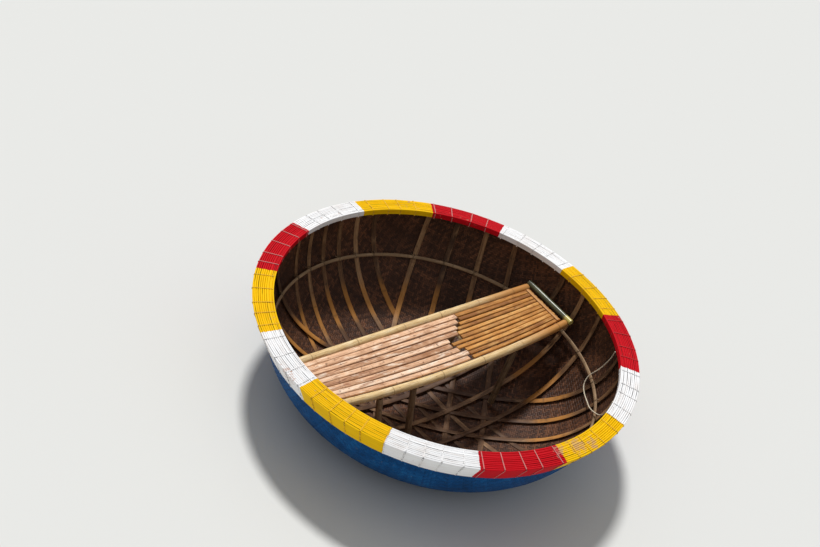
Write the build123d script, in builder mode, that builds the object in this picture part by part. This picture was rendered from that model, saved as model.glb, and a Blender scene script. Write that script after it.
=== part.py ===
"""Round bamboo basket boat: a woven bowl, bent ribs in four directions, a rim of bent laths and a bench.

Millimetres, +Z up. The origin is in the middle of the boat at the waterline, afloat and empty.
+X runs along the bench. Faces of the bowl are named by their inset, which is how far they lie
inside the hull's outer face, measured square to it.
"""
from build123d import *
import math
import os

os.makedirs("parts", exist_ok=True)

# Driving sizes
draught = 97                 # the hull's lowest point lies this far under the waterline
hull_depth = 677             # from the hull's lowest point up to the rim's inner top edge
clearance = 0.3              # pieces that lie on each other leave this much

# The bowl: a dished floor and a large round bilge that ends in a short upright wall
floor_curve = 2042           # radius of the dished floor
bilge_curve = 582            # radius of the turn from floor to wall, where the wall is high enough
least_wall = 10              # the straight part of the wall is at least this high
wall_lean = 1.9              # degrees from upright
hull_thickness = 8           # the woven mat with its coats of resin and paint

# The rim: laths bent on edge round the top of the bowl, between an inner and an outer band
rim_inner_radius = 982       # at the inner top edge
rim_width = 118              # from inner to outer top edge
rim_drop = 17                # the top slopes down to the outside by this much
band_thickness = 10
inner_band_height = 33
outer_band_height = 148      # along its slope
outer_band_lean = 29         # degrees from upright
lath_count = 6               # on edge between the hull and the outer band
lath_gap = 0.4               # between neighbours
cap_count = 2                # flat laths over the basket's edge and the ribs' tops
edge_tuck = 14               # the ribs and the basket end this far below the rim's inner top edge

# Ribs: split bamboo, bent down one wall, over the floor and up the other, one set on another
rib_thickness = 5
rib_width = 30
rib_gather_height = 4670     # the planes of a set's ribs meet in a line this far above the keel
# name, direction in degrees from +X, count, spacing, and how far left of the middle the set is
rib_sets = (
    ("rib_across", 90, 6, 131, 38),
    ("rib_diagonal_left", 45, 4, 205, -72),
    ("rib_diagonal_right", -45, 4, 171, -44),
    ("rib_along", 0, 3, 200, -90),
)

# The hoop inside the wall, over the ribs, under the left ends of the bench's poles
hoop_thickness = 12
hoop_height = 22
hoop_tilt = 1.7              # degrees from level
hoop_low_side = 29           # where it is lowest, in degrees from +X

# The bench: two edge poles, slats between them in two lengths, and a pole across each end
bench_drop = 183             # from the rim's inner top edge to the top of the edge poles
pole_diameter = 48
pole_end_gap = 3             # between a pole's left end and the wall's ribs
pole_right_gap = 97          # from the poles' right ends to the rim's inner top edge
# y at the left and right end, and how far the middle bows towards -Y
pole_span = 880              # where those ends are, to the left and right of the middle
pole_lines = {
    "front": (-118, -102, 54),
    "back": (231, 237, 0),
}
slat_thickness = 12
slat_edge = 4                # radius of a slat's rounded upper edges
slat_gap = 3
slat_sink = 10               # the slats' tops lie this far below the poles' tops
slat_left_gap = 137          # from the slats' left ends to the rim's inner top edge
slat_break = 180             # about where the left slats end and the right ones start
slat_right_set = 13          # the slats end this far short of the poles' right ends
left_slat_count = 9
right_slat_count = 11
slat_drift = 0.3             # of a right slat's width, by which its line may miss the left ones'
# how far past the break each left slat ends, from the front pole to the back one
slat_ends = (-60, -35, -75, -100, -85, 10, 35, 70, 95)
crossbar_diameter = 24
crossbar_xs = (-720, -250, 200, 720)
end_pole_diameter = 36
end_pole_rise = 22           # its axis lies this far above the edge poles' axes
end_pole_front_y = -128
end_pole_back_y = 250
end_lath_set = 33            # the lath's middle is this far short of the poles' right ends
end_lath_width = 20
end_lath_thickness = 6
leg_diameter = 38
leg_foot_inward = 67         # a foot stands this far nearer the boat's middle than its top, along X
leg_foot_outward = 25        # and this far outward from its pole's line, along Y
# pole, x of the leg's top
legs = (
    ("front", -540),
    ("front", -310),
    ("front", 460),
    ("back", -430),
    ("back", 430),
)

# The rope: a limp line that hangs in a bight along the right wall, in front of the hoop
rope_diameter = 7
rope_arc_share = 0.45        # of the shorter run, for each arc's reach
rope_route = (
    (818, -533, 547),
    (821, -527, 500),
    (822, -509, 437),
    (811, -486, 370),
    (784, -454, 307),
    (753, -467, 261),
    (720, -515, 246),
    (678, -581, 257),
    (621, -646, 286),
    (571, -723, 334),
    (528, -794, 391),
    (511, -824, 450),
    (508, -834, 505),
    (508, -836, 547),
)

# Worked out from the driving sizes: levels, and the centres of the bowl's arcs
keel_z = -draught
rim_z = keel_z + hull_depth
edge_z = rim_z - edge_tuck
lean = math.radians(wall_lean)
rib_pitch = rib_thickness + clearance
rib_stack = len(rib_sets) * rib_pitch + clearance
band_inset = hull_thickness + rib_stack
hull_top_radius = rim_inner_radius + (band_inset + band_thickness) / math.cos(lean)
floor_centre_z = keel_z + floor_curve


def bilge_room():
    """The radius of the bilge that leaves the wall its least straight part."""
    knee_z = edge_z - least_wall
    knee = Vector(hull_top_radius - (rim_z - knee_z) * math.tan(lean), knee_z - floor_centre_z)
    outward = Vector(math.cos(lean), -math.sin(lean))
    return (floor_curve ** 2 - knee.dot(knee)) / (2 * (floor_curve - knee.dot(outward)))


bilge_radius = min(bilge_curve, bilge_room())


def bilge_centre_point():
    """The centre of the bilge's arc, which touches the floor's arc and the wall's line."""
    slope = math.tan(lean)
    start_x = hull_top_radius - bilge_radius / math.cos(lean)
    rise = rim_z - floor_centre_z
    reach = floor_curve - bilge_radius
    square = 1 + slope ** 2
    middle = start_x * slope + rise
    rest = start_x ** 2 + rise ** 2 - reach ** 2
    down = (middle + math.sqrt(middle ** 2 - square * rest)) / square
    return start_x - down * slope, rim_z - down


bilge_x, bilge_z = bilge_centre_point()
floor_turn = math.degrees(math.atan2(bilge_x, floor_centre_z - bilge_z))


def wall_line(inset, z):
    """The radius at height z of the wall's straight part, carried on downwards."""
    return hull_top_radius - inset / math.cos(lean) - (rim_z - z) * math.tan(lean)


def wall_radius(inset, z):
    """The radius of the wall's face, or of the bilge's below the knee, at height z."""
    curve = bilge_radius - inset
    if z < bilge_z - curve * math.sin(lean):
        return bilge_x + math.sqrt(curve ** 2 - (z - bilge_z) ** 2)
    return wall_line(inset, z)


def floor_height(inset, radius):
    """The height of the floor's face, or of the bilge's, at a distance from the middle."""
    curve = bilge_radius - inset
    if radius > bilge_x + curve * math.sin(math.radians(floor_turn)):
        return bilge_z - math.sqrt(curve ** 2 - (radius - bilge_x) ** 2)
    return floor_centre_z - math.sqrt((floor_curve - inset) ** 2 - radius ** 2)


def bowl_section(near, far):
    """The bowl's section between the faces with these insets, from the middle to the edge."""
    with BuildSketch(Plane.XZ) as section:
        with BuildLine():
            ends = []
            for inset in (near, far):
                floor = CenterArc((0, floor_centre_z), floor_curve - inset, -90, floor_turn)
                turn = CenterArc(
                    (bilge_x, bilge_z),
                    bilge_radius - inset,
                    floor_turn - 90,
                    90 - floor_turn - wall_lean,
                )
                wall = Line(turn @ 1, (wall_line(inset, edge_z), edge_z))
                ends.append((floor @ 0, wall @ 1))
            Line(ends[0][0], ends[1][0])
            Line(ends[0][1], ends[1][1])
        make_face()
    return section.sketch


def top_height(radius):
    """The rim's sloping top at a distance from the middle."""
    return rim_z - (radius - rim_inner_radius) * rim_drop / rim_width


def lath_section(near, far, bottom_z):
    """A bent lath's section, leaning with the wall between two insets, up to the rim's top."""
    corners = []
    for inset in (near, far):
        radius = wall_line(inset, rim_z)
        top_z = top_height(radius)
        corners.append((wall_line(inset, top_z), top_z))
    with BuildSketch(Plane.XZ) as section:
        with BuildLine():
            Polyline(
                corners[0],
                corners[1],
                (wall_line(far, bottom_z), bottom_z),
                (wall_line(near, bottom_z), bottom_z),
                close=True,
            )
        make_face()
    return section.sketch


pieces = []


def finish(builder, name):
    builder.part.label = name
    pieces.append(builder.part)


# The woven bowl
with BuildPart() as hull:
    revolve(bowl_section(0, hull_thickness), axis=Axis.Z)
finish(hull, "hull_basket")

# The ribs, each a strip cut from one layer inside the bowl
for level, (set_name, direction, count, spacing, middle) in enumerate(rib_sets):
    inset = hull_thickness + clearance + level * rib_pitch
    ahead = Vector(1, 0, 0).rotate(Axis.Z, direction)
    left = Vector(0, 1, 0).rotate(Axis.Z, direction)
    for number in range(count):
        offset = middle + ((count - 1) / 2 - number) * spacing
        gather = Vector(0, 0, rib_gather_height) - left * offset
        strip_plane = Plane(left * offset + Vector(0, 0, keel_z), x_dir=ahead, z_dir=gather)
        with BuildPart() as rib:
            revolve(bowl_section(inset, inset + rib_thickness), axis=Axis.Z)
            with BuildSketch(strip_plane):
                Rectangle(2 * hull_top_radius, rib_width)
            extrude(amount=hull_depth + rib_width, mode=Mode.INTERSECT)
        finish(rib, f"{set_name}_{number + 1}")

# The rim
with BuildPart() as inner_band:
    band_section = lath_section(band_inset, band_inset + band_thickness, rim_z - inner_band_height)
    revolve(band_section, axis=Axis.Z)
finish(inner_band, "rim_inner_band")

cap_pitch = (band_inset - clearance) / cap_count
for number in range(cap_count):
    near = number * cap_pitch
    with BuildPart() as cap:
        revolve(lath_section(near, near + cap_pitch - lath_gap, edge_z + clearance), axis=Axis.Z)
    finish(cap, f"rim_cap_{number + 1}")

outer_lean = math.radians(outer_band_lean)
outer_top = (rim_inner_radius + rim_width, rim_z - rim_drop)
outer_bottom_z = outer_top[1] - outer_band_height * math.cos(outer_lean)
outer_bottom_x = outer_top[0] - outer_band_height * math.sin(outer_lean)
band_step = band_thickness / math.cos(outer_lean)
with BuildPart() as outer_band:
    with BuildSketch(Plane.XZ):
        with BuildLine():
            inner_x = outer_top[0] - band_step
            Polyline(
                outer_top,
                (outer_bottom_x, outer_bottom_z),
                (outer_bottom_x - band_step, outer_bottom_z),
                (inner_x, outer_top[1]),
                close=True,
            )
        make_face()
    revolve(axis=Axis.Z)
finish(outer_band, "rim_outer_band")

band_inner_x = outer_top[0] - band_step - clearance
lath_room = (band_inner_x - hull_top_radius) * math.cos(lean) - clearance
lath_pitch = lath_room / lath_count
for number in range(lath_count):
    near = -(clearance + number * lath_pitch)
    far = near - lath_pitch + lath_gap
    # the wedge between the hull and the outer band closes on this lath's outer face
    wedge = band_inner_x + rim_drop * math.tan(outer_lean) - wall_line(far, rim_z)
    depth = wedge / (math.tan(outer_lean) - math.tan(lean))
    with BuildPart() as lath:
        revolve(lath_section(near, far, max(rim_z - depth, outer_bottom_z)), axis=Axis.Z)
    finish(lath, f"rim_lath_{number + 1}")

# The bench's levels, and where its poles' left ends are
pole_radius = pole_diameter / 2
pole_z = rim_z - bench_drop - pole_radius
slat_top_z = pole_z + pole_radius - slat_sink
pole_room = wall_radius(band_inset, pole_z - pole_radius) - pole_end_gap
pole_right_end = rim_inner_radius - pole_right_gap


def pole_y(name, x):
    """The middle of an edge pole at a distance along the bench."""
    left_y, right_y, bow = pole_lines[name]
    share = x / pole_span
    return (left_y + right_y) / 2 + (right_y - left_y) / 2 * share - bow * (1 - share ** 2)


def pole_left_end(name):
    """The pole's corner at its left end stands pole_end_gap from the ribs."""
    x = -pole_room
    for step in range(4):
        x = -math.sqrt(pole_room ** 2 - (abs(pole_y(name, x)) + pole_radius) ** 2)
    return x


# The hoop, whose top is under the front pole's left end
seat_x = pole_left_end("front") + hoop_thickness
seat_y = pole_y("front", seat_x)
tilt = math.radians(hoop_tilt)
low = Vector(1, 0, 0).rotate(Axis.Z, hoop_low_side)
seat_rise = -(seat_x * low.X + seat_y * low.Y) * math.tan(tilt)
reach_rise = pole_radius * math.tan(tilt)
hoop_top_z = pole_z - pole_radius - clearance - reach_rise - seat_rise
hoop_plane = Plane((0, 0, hoop_top_z), z_dir=low * math.sin(tilt) + Vector(0, 0, math.cos(tilt)))
with BuildPart() as hoop:
    revolve(bowl_section(band_inset, band_inset + hoop_thickness), axis=Axis.Z)
    with BuildSketch(hoop_plane):
        Circle(hull_top_radius)
    extrude(amount=-hoop_height, mode=Mode.INTERSECT)
finish(hoop, "wall_hoop")

# The edge poles, one of them bowed towards the front
for name, (left_y, right_y, bow) in pole_lines.items():
    start_x = pole_left_end(name)
    start = Vector(start_x, pole_y(name, start_x), pole_z)
    end = Vector(pole_right_end, pole_y(name, pole_right_end), pole_z)
    half_x = (start_x + pole_right_end) / 2
    halfway = Vector(half_x, pole_y(name, half_x), pole_z)
    with BuildPart() as pole:
        with BuildLine() as path:
            if bow:
                ThreePointArc(start, halfway, end)
            else:
                Line(start, end)
        with BuildSketch(Plane(path.line @ 0, z_dir=path.line % 0)):
            Circle(pole_radius)
        sweep()
    finish(pole, f"bench_{name}_pole")


def slat_edges(x):
    """The y of the room for slats between the poles, at a distance along the bench."""
    return pole_y("front", x) + pole_radius + slat_gap, pole_y("back", x) - pole_radius - slat_gap


def add_slats(name, start_xs, end_xs):
    """Split bamboo slats side by side, flat below and rounded at their upper edges."""
    count = len(start_xs)
    first_x, last_x = min(start_xs), max(end_xs)
    first_low, first_high = slat_edges(first_x)
    last_low, last_high = slat_edges(last_x)
    width = min(first_high - first_low, last_high - last_low) / count - slat_gap
    with BuildPart() as slats:
        for number, (start_x, end_x) in enumerate(zip(start_xs, end_xs)):
            share = (number + 0.5) / count
            first_y = first_low + (first_high - first_low) * share
            last_y = last_low + (last_high - last_low) * share
            along = Vector(last_x - first_x, last_y - first_y, 0)
            start = Vector(first_x, first_y, slat_top_z) + along * ((start_x - first_x) / along.X)
            plane = Plane(start, x_dir=(0, 0, 1), z_dir=along)
            with BuildSketch(plane):
                Rectangle(slat_thickness, width, align=(Align.MAX, Align.CENTER))
            slat = extrude(amount=(end_x - start_x) * along.length / along.X)
            upper = slat.edges().filter_by(Axis(plane.origin, plane.z_dir)).group_by(Axis.Z)[-1]
            fillet(upper, slat_edge)
    finish(slats, name)


# The left slats end raggedly, and each right slat starts past the ends of those that it meets
left_starts = [slat_left_gap - rim_inner_radius] * left_slat_count
left_ends = [slat_break + past for past in slat_ends]
right_starts = []
for number in range(right_slat_count):
    first_met = math.floor((number - slat_drift) / right_slat_count * left_slat_count)
    last_met = math.ceil((number + 1 + slat_drift) / right_slat_count * left_slat_count)
    right_starts.append(max(left_ends[max(first_met, 0):last_met]) + slat_gap)
add_slats("bench_left_slats", left_starts, left_ends)
right_ends = [pole_right_end - slat_right_set] * right_slat_count
add_slats("bench_right_slats", right_starts, right_ends)

# The crossbars that the slats lie on, cut to reach from one pole's side to the other's
crossbar_radius = crossbar_diameter / 2
crossbar_z = slat_top_z - slat_thickness - clearance - crossbar_radius
for number, bar_x in enumerate(crossbar_xs, start=1):
    ends = []
    for name in pole_lines:
        sides = [pole_y(name, bar_x - crossbar_radius), pole_y(name, bar_x + crossbar_radius)]
        inner = max(sides) + pole_radius if name == "front" else min(sides) - pole_radius
        ends.append(inner + clearance if name == "front" else inner - clearance)
    with BuildPart() as crossbar:
        with BuildSketch(Plane.XZ.offset(-ends[0])):
            with Locations((bar_x, crossbar_z)):
                Circle(crossbar_radius)
        extrude(amount=ends[0] - ends[1])
    finish(crossbar, f"bench_crossbar_{number}")

# The pole across the bench's right end, a little higher than the edge poles and against their ends.
# The bowed pole's end face is turned, so its corner reaches furthest, where the round pole allows.
end_pole_radius = end_pole_diameter / 2
end_slope = (pole_y("front", pole_right_end) - pole_y("front", pole_right_end - pole_radius)) / pole_radius
end_reach = 0
for height in range(round(end_pole_rise - end_pole_radius), round(pole_radius)):
    corner_reach = abs(end_slope) * math.sqrt(pole_radius ** 2 - height ** 2)
    round_gap = end_pole_radius - math.sqrt(end_pole_radius ** 2 - (end_pole_rise - height) ** 2)
    end_reach = max(end_reach, corner_reach - round_gap)
end_pole_x = pole_right_end + end_reach + clearance + end_pole_radius
with BuildPart() as end_pole:
    with BuildSketch(Plane.XZ.offset(-end_pole_front_y)):
        with Locations((end_pole_x, pole_z + end_pole_rise)):
            Circle(end_pole_radius)
    extrude(amount=end_pole_front_y - end_pole_back_y)
finish(end_pole, "bench_right_end_pole")

# The thin lath on the right slats' ends
end_lath_x = pole_right_end - end_lath_set
with BuildPart() as end_lath:
    lath_low, lath_high = slat_edges(end_lath_x + end_lath_width / 2)
    with BuildSketch(Plane.XY.offset(slat_top_z + clearance)):
        with Locations((end_lath_x, (lath_low + lath_high) / 2)):
            Rectangle(end_lath_width, lath_high - lath_low - 2 * slat_gap)
    extrude(amount=end_lath_thickness)
finish(end_lath, "bench_end_lath")

# The legs under the edge poles, splayed, and cut level at the poles and where they meet the ribs
leg_radius = leg_diameter / 2
leg_numbers = {"front": 0, "back": 0}
for name, top_x in legs:
    top = Vector(top_x, pole_y(name, top_x), pole_z - pole_radius - clearance)
    foot_x = top_x - math.copysign(leg_foot_inward, top_x)
    foot_y = top.Y - leg_foot_outward if name == "front" else top.Y + leg_foot_outward
    furthest = math.hypot(abs(foot_x) + leg_radius, abs(foot_y) + leg_radius)
    foot = Vector(foot_x, foot_y, floor_height(band_inset, furthest))
    leg_numbers[name] += 1
    with BuildPart() as leg:
        with BuildSketch(Plane.XY.offset(foot.Z)):
            with Locations((foot.X, foot.Y)):
                Circle(leg_radius)
        extrude(amount=(top - foot).length, dir=top - foot)
    finish(leg, f"bench_{name}_leg_{leg_numbers[name]}")

# The rope, a tube of straight runs joined by tangent arcs
route = [Vector(*point) for point in rope_route]
radii = []
for before, corner, after in zip(route, route[1:], route[2:]):
    first_run = corner - before
    second_run = after - corner
    half_turn = math.radians(first_run.get_angle(second_run) / 2)
    shorter_run = min(first_run.length, second_run.length)
    radii.append(rope_arc_share * shorter_run / math.tan(half_turn))
with BuildPart() as rope:
    with BuildLine() as rope_path:
        FilletPolyline(*route, radius=radii)
    with BuildSketch(Plane(rope_path.line @ 0, z_dir=rope_path.line % 0)):
        Circle(rope_diameter / 2)
    sweep()
finish(rope, "rope")
rope_length = sum(edge.length for edge in rope_path.edges())
rope_area = math.pi * rope_diameter ** 2 / 4
print("rope length", round(rope_length), "mm, arcs' radii", [round(radius) for radius in radii])
print("rope volume over section times length", round(rope.part.volume / (rope_area * rope_length), 4))

for piece in pieces:
    export_step(piece, f"parts/{piece.label}.step")
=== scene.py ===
"""Round bamboo basket boat: woven bowl, bent ribs, painted rim, slatted bench and a rope.

Metres, +Z up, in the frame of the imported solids. The origin is in the middle of the boat at the
waterline and +X runs along the bench. Bars are shaped straight first, then bent to their place.
"""
import math
import random
from bisect import bisect_right

import bmesh
import bpy
from mathutils import Matrix, Vector


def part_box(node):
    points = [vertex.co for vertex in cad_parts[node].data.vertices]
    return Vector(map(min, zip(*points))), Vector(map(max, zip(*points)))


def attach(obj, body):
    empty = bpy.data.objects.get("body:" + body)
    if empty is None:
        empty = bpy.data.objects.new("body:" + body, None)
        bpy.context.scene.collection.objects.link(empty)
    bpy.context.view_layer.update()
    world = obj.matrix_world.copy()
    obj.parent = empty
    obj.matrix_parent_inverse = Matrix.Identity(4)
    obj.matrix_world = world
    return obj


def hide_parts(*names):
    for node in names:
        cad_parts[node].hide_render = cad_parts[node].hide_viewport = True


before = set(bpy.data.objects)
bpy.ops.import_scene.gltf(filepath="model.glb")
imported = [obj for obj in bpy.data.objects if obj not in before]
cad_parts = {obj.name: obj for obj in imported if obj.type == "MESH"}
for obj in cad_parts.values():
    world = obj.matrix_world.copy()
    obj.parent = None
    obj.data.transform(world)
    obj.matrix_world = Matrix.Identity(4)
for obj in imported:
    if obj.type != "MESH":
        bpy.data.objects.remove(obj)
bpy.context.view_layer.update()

BODY = "root"
MM = 0.001

# The bowl and the rim, as the solids have them. An inset is a depth inside the hull's outer face.
FLOOR_CURVE = 2.042
BILGE_CURVE = 0.582
LEAN = math.radians(1.9)
HULL_THICKNESS = 8 * MM
CLEARANCE = 0.3 * MM
RIB_THICKNESS = 5 * MM
RIB_WIDTH = 30 * MM
RIB_GATHER_HEIGHT = 4.67
RIB_SETS = (
    # name, direction from +X in degrees, count, spacing, how far left of the middle the set is
    ("rib_across", 90, 6, 0.131, 0.038),
    ("rib_diagonal_left", 45, 4, 0.205, -0.072),
    ("rib_diagonal_right", -45, 4, 0.171, -0.044),
    ("rib_along", 0, 3, 0.200, -0.090),
)
RIM_DROP = 17 * MM
RIM_WIDTH = 118 * MM
BAND_THICKNESS = 10 * MM
OUTER_LEAN = math.radians(29)
LATH_COUNT = 6
LATH_GAP = 0.4 * MM
CAP_COUNT = 2

hull_low, hull_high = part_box("hull_basket")
keel_z, edge_z = hull_low.z, hull_high.z
band_low, band_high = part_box("rim_inner_band")
rim_z = band_high.z
outer_low, outer_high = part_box("rim_outer_band")
rim_radius = outer_high.x
rim_inner_radius = rim_radius - RIM_WIDTH
outer_bottom_radius = rim_radius - (outer_high.z - outer_low.z) * math.tan(OUTER_LEAN)
lath_boxes = [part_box(f"rim_lath_{number + 1}") for number in range(LATH_COUNT)]
lath_pitch = (lath_boxes[-1][1].x - lath_boxes[0][1].x) / (LATH_COUNT - 1)
hull_top_radius = hull_high.x + (rim_z - edge_z) * math.tan(LEAN)
band_inset = HULL_THICKNESS + len(RIB_SETS) * (RIB_THICKNESS + CLEARANCE) + CLEARANCE
floor_centre_z = keel_z + FLOOR_CURVE


def bilge_centre_point():
    """The centre of the bilge's arc, which touches the floor's arc and the wall's line."""
    slope = math.tan(LEAN)
    start = hull_top_radius - BILGE_CURVE / math.cos(LEAN)
    rise = rim_z - floor_centre_z
    middle = start * slope + rise
    square = 1 + slope ** 2
    rest = start ** 2 + rise ** 2 - (FLOOR_CURVE - BILGE_CURVE) ** 2
    down = (middle + math.sqrt(middle ** 2 - square * rest)) / square
    return start - down * slope, rim_z - down


bilge_x, bilge_z = bilge_centre_point()
floor_turn = math.atan2(bilge_x, floor_centre_z - bilge_z)
bilge_turn = math.pi / 2 - LEAN - floor_turn
floor_length = FLOOR_CURVE * floor_turn
bilge_length = BILGE_CURVE * bilge_turn


def wall_line(inset, z):
    """The radius at height z of the wall's straight part, carried on downwards."""
    return hull_top_radius - inset / math.cos(LEAN) - (rim_z - z) * math.tan(LEAN)


def bowl_radius(inset, z):
    """How far the bowl's face is from the middle at height z."""
    curve = BILGE_CURVE - inset
    if z > bilge_z - curve * math.sin(LEAN):
        return wall_line(inset, z)
    if z > bilge_z - curve * math.cos(floor_turn):
        return bilge_x + math.sqrt(curve ** 2 - (z - bilge_z) ** 2)
    return math.sqrt(max((FLOOR_CURVE - inset) ** 2 - (floor_centre_z - z) ** 2, 0))


def radius_and_turn(point):
    """How far out a point is, and its angle round the bilge's centre, up from straight below."""
    radius = math.hypot(point.x, point.y)
    return radius, math.atan2(radius - bilge_x, bilge_z - point.z)


def inward_at(point):
    """The direction square to the bowl's face and into the boat."""
    radius, turn = radius_and_turn(point)
    if turn > math.pi / 2 - LEAN:
        out, up = -math.cos(LEAN), math.sin(LEAN)
    elif turn > floor_turn:
        out, up = bilge_x - radius, bilge_z - point.z
    else:
        out, up = -radius, floor_centre_z - point.z
    outwards = Vector((point.x, point.y, 0)).normalized()
    return (outwards * out + Vector((0, 0, up))).normalized()


def mat_length(point):
    """How far along the mat a point of the bowl is from the middle."""
    radius, turn = radius_and_turn(point)
    if turn > math.pi / 2 - LEAN:
        return floor_length + bilge_length + (point.z - bilge_z + BILGE_CURVE * math.sin(LEAN))
    if turn > floor_turn:
        return floor_length + BILGE_CURVE * (turn - floor_turn)
    return FLOOR_CURVE * math.atan2(radius, floor_centre_z - point.z)


def top_height(radius):
    """The rim's sloping top at a distance from the middle, which may be a wire of a material."""
    return rim_z - (radius - rim_inner_radius) * (RIM_DROP / RIM_WIDTH)


# Colours, written as they look on a screen
def colour(text):
    """A colour of a material from its six hexadecimal digits."""
    shares = [int(text[i:i + 2], 16) / 255 for i in (0, 2, 4)]
    return [s / 12.92 if s < 0.04045 else ((s + 0.055) / 1.055) ** 2.4 for s in shares] + [1]


def sum_of(operation, swapped=False):
    """What Python does for an operator between a wire and another wire or a number."""
    def result(wire, other):
        values = (other, wire) if swapped else (wire, other)
        return wire.maths(operation, *values)
    return result


def value_of(operation):
    """The same for an operator or a method that takes the wire alone."""
    return lambda wire: wire.maths(operation, wire)


class Wire:
    """A value in a material. Sums, products and comparisons of wires become Math nodes."""

    def __init__(self, finish, socket):
        self.finish = finish
        self.socket = socket

    def maths(self, operation, *values, **settings):
        return self.finish.add("ShaderNodeMath", {"operation": operation, **settings}, values)

    __add__ = __radd__ = sum_of("ADD")
    __sub__ = sum_of("SUBTRACT")
    __rsub__ = sum_of("SUBTRACT", swapped=True)
    __mul__ = __rmul__ = sum_of("MULTIPLY")
    __truediv__ = sum_of("DIVIDE")
    __pow__ = sum_of("POWER")
    __mod__ = sum_of("FLOORED_MODULO")
    __lt__ = sum_of("LESS_THAN")
    __gt__ = sum_of("GREATER_THAN")
    __abs__ = value_of("ABSOLUTE")
    floor = value_of("FLOOR")
    fraction = value_of("FRACT")
    sine = value_of("SINE")

    def limited(self):
        return self.maths("ADD", self, 0, use_clamp=True)

    def between(self, low, high):
        """0 at low, 1 at high, and smooth in the middle."""
        settings = {"interpolation_type": "SMOOTHSTEP"}
        return self.finish.add("ShaderNodeMapRange", settings, (self, low, high))


class Finish:
    """One material, or the world. add() makes any node from its type, settings and inputs.

    An input that is a text is a colour.
    """

    def __init__(self, name, owners=bpy.data.materials):
        self.material = owners.new(name)
        self.material.use_nodes = True
        self.tree = self.material.node_tree
        self.tree.nodes.clear()

    def add(self, kind, settings=None, inputs=(), output=0):
        node = self.tree.nodes.new(kind)
        for key, value in (settings or {}).items():
            if key == "stops":
                self.set_stops(node.color_ramp, value)
            else:
                setattr(node, key, value)
        for key, value in inputs.items() if isinstance(inputs, dict) else enumerate(inputs):
            if isinstance(value, Wire):
                self.tree.links.new(value.socket, node.inputs[key])
            else:
                node.inputs[key].default_value = colour(value) if isinstance(value, str) else value
        return Wire(self, node.outputs[output]) if node.outputs else None

    @staticmethod
    def set_stops(ramp, stops):
        """The first is the interpolation's name, the others are pairs of a place and a colour."""
        ramp.interpolation = stops[0]
        while len(ramp.elements) < len(stops) - 1:
            ramp.elements.new(1)
        for element, (place, value) in zip(ramp.elements, stops[1:]):
            element.position = place
            element.color = colour(value)

    def place(self):
        return self.add("ShaderNodeTexCoord", output="Object")

    def uv(self, name):
        return self.add("ShaderNodeUVMap", {"uv_map": name})

    def attribute(self, name):
        return self.add("ShaderNodeAttribute", {"attribute_name": name}, output="Fac")

    def parts(self, vector):
        split = self.add("ShaderNodeSeparateXYZ", inputs=(vector,))
        return [Wire(self, output) for output in split.socket.node.outputs]

    def vector(self, x, y, z=0.0):
        return self.add("ShaderNodeCombineXYZ", inputs=(x, y, z))

    def noise(self, vector, scale, detail=2.0, roughness=0.5):
        values = {"Vector": vector, "Scale": scale, "Detail": detail, "Roughness": roughness}
        return self.add("ShaderNodeTexNoise", inputs=values)

    def mix(self, share, first, second, blend="MIX"):
        settings = {"data_type": "RGBA", "blend_type": blend}
        return self.add("ShaderNodeMix", settings, {0: share, 6: first, 7: second}, output=2)

    def ramp(self, share, *stops):
        return self.add("ShaderNodeValToRGB", {"stops": stops}, {0: share})

    def done(self, base, roughness, height=None, depth=1 * MM, shine=0.5):
        """The shader itself, with the bump that height gives where 1 is a depth above 0."""
        inputs = {"Base Color": base, "Roughness": roughness, "Specular IOR Level": shine}
        if height is not None:
            bump = {"Strength": 1.0, "Distance": depth, "Height": height}
            inputs["Normal"] = self.add("ShaderNodeBump", inputs=bump)
        shader = self.add("ShaderNodeBsdfPrincipled", inputs=inputs)
        self.add("ShaderNodeOutputMaterial", inputs={"Surface": shader})
        return self.material


# Shaping
CREASE = math.radians(40)          # edges that turn by more than this stay sharp
RING_STEPS = 288


def new_piece(name, bm, *finishes):
    """An object at the origin from a finished bmesh."""
    mesh = bpy.data.meshes.new(name)
    bm.to_mesh(mesh)
    bm.free()
    mesh.shade_smooth()
    mesh.set_sharp_from_angle(angle=CREASE)
    piece = bpy.data.objects.new(name, mesh)
    bpy.context.scene.collection.objects.link(piece)
    for finish in finishes:
        mesh.materials.append(finish)
    return piece


def dress(name, bm, finishes, slot, *nodes):
    """A piece that rides on the boat with these finishes and stands for these nodes, whose solids
    it hides. The slot is not used.
    """
    piece = new_piece(name, bm, *finishes)
    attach(piece, BODY)
    if nodes:
        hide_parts(*nodes)
    return piece


def waves(seed, *frequencies):
    """An uneven line round the boat: a sum of sines of the angle, from about -1 to 1."""
    draw = random.Random(seed)
    terms = [(n, draw.uniform(0, 2 * math.pi), draw.uniform(0.6, 1)) for n in frequencies]
    total = sum(size for _, _, size in terms)
    return lambda angle: sum(size * math.sin(n * angle + turn) for n, turn, size in terms) / total


def spin_round(bm, nearest):
    """Turn the section once round the boat, and merge what comes nearer than this."""
    bmesh.ops.spin(bm, geom=bm.verts[:] + bm.edges[:], cent=(0, 0, 0), axis=(0, 0, 1),
                   angle=2 * math.pi, steps=RING_STEPS, use_merge=True)
    bmesh.ops.remove_doubles(bm, verts=bm.verts[:], dist=nearest)
    bmesh.ops.recalc_face_normals(bm, faces=bm.faces[:])


def spun_ring(corners, rounded):
    """A closed section, given as radius and height, turned once round the boat.

    rounded gives an edge's radius for each corner that isn't sharp.
    """
    bm = bmesh.new()
    verts = [bm.verts.new((radius, 0, z)) for radius, z in corners]
    bm.faces.new(verts)
    for corner, edge_radius in rounded.items():
        bmesh.ops.bevel(bm, geom=[verts[corner]], offset=edge_radius, affect="VERTICES",
                        segments=4, profile=0.5, material=-1)
    bmesh.ops.delete(bm, geom=bm.faces[:], context="FACES_ONLY")
    spin_round(bm, 0.01 * MM)
    return bm


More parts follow.
